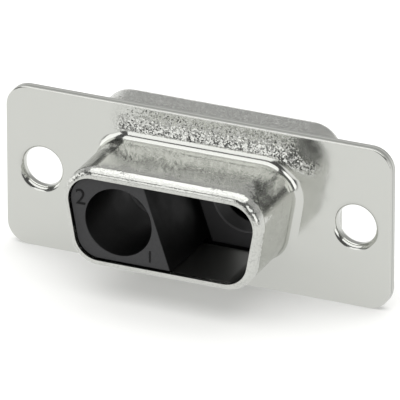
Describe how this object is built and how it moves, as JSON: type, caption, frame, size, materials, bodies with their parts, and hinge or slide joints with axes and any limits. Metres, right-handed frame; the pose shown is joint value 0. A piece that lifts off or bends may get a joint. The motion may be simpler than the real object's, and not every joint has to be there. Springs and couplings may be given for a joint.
{
  "type": "d-sub contact insert",
  "caption": "D-shaped shielded connector housing for large round contacts, with clinched steel shells round a black keyed insulator and a mounting hole at each end.",
  "frame": {"origin": "midway between the two mounting holes, on the front face of the flange", "axes": "+X along the flange, +Z to the wide side of the D, -Y out of the mating side"},
  "size_m": [0.0306, 0.0123, 0.0126],
  "materials": {
    "tin_plated_steel": "satin, as drawn and tin plated",
    "black_moulding": "fine moulded matt"
  },
  "bodies": {
    "root": {"front_shell": "tin_plated_steel", "rear_shell": "tin_plated_steel", "front_insulator": "black_moulding", "rear_insulator": "black_moulding"}
  },
  "joints": []
}
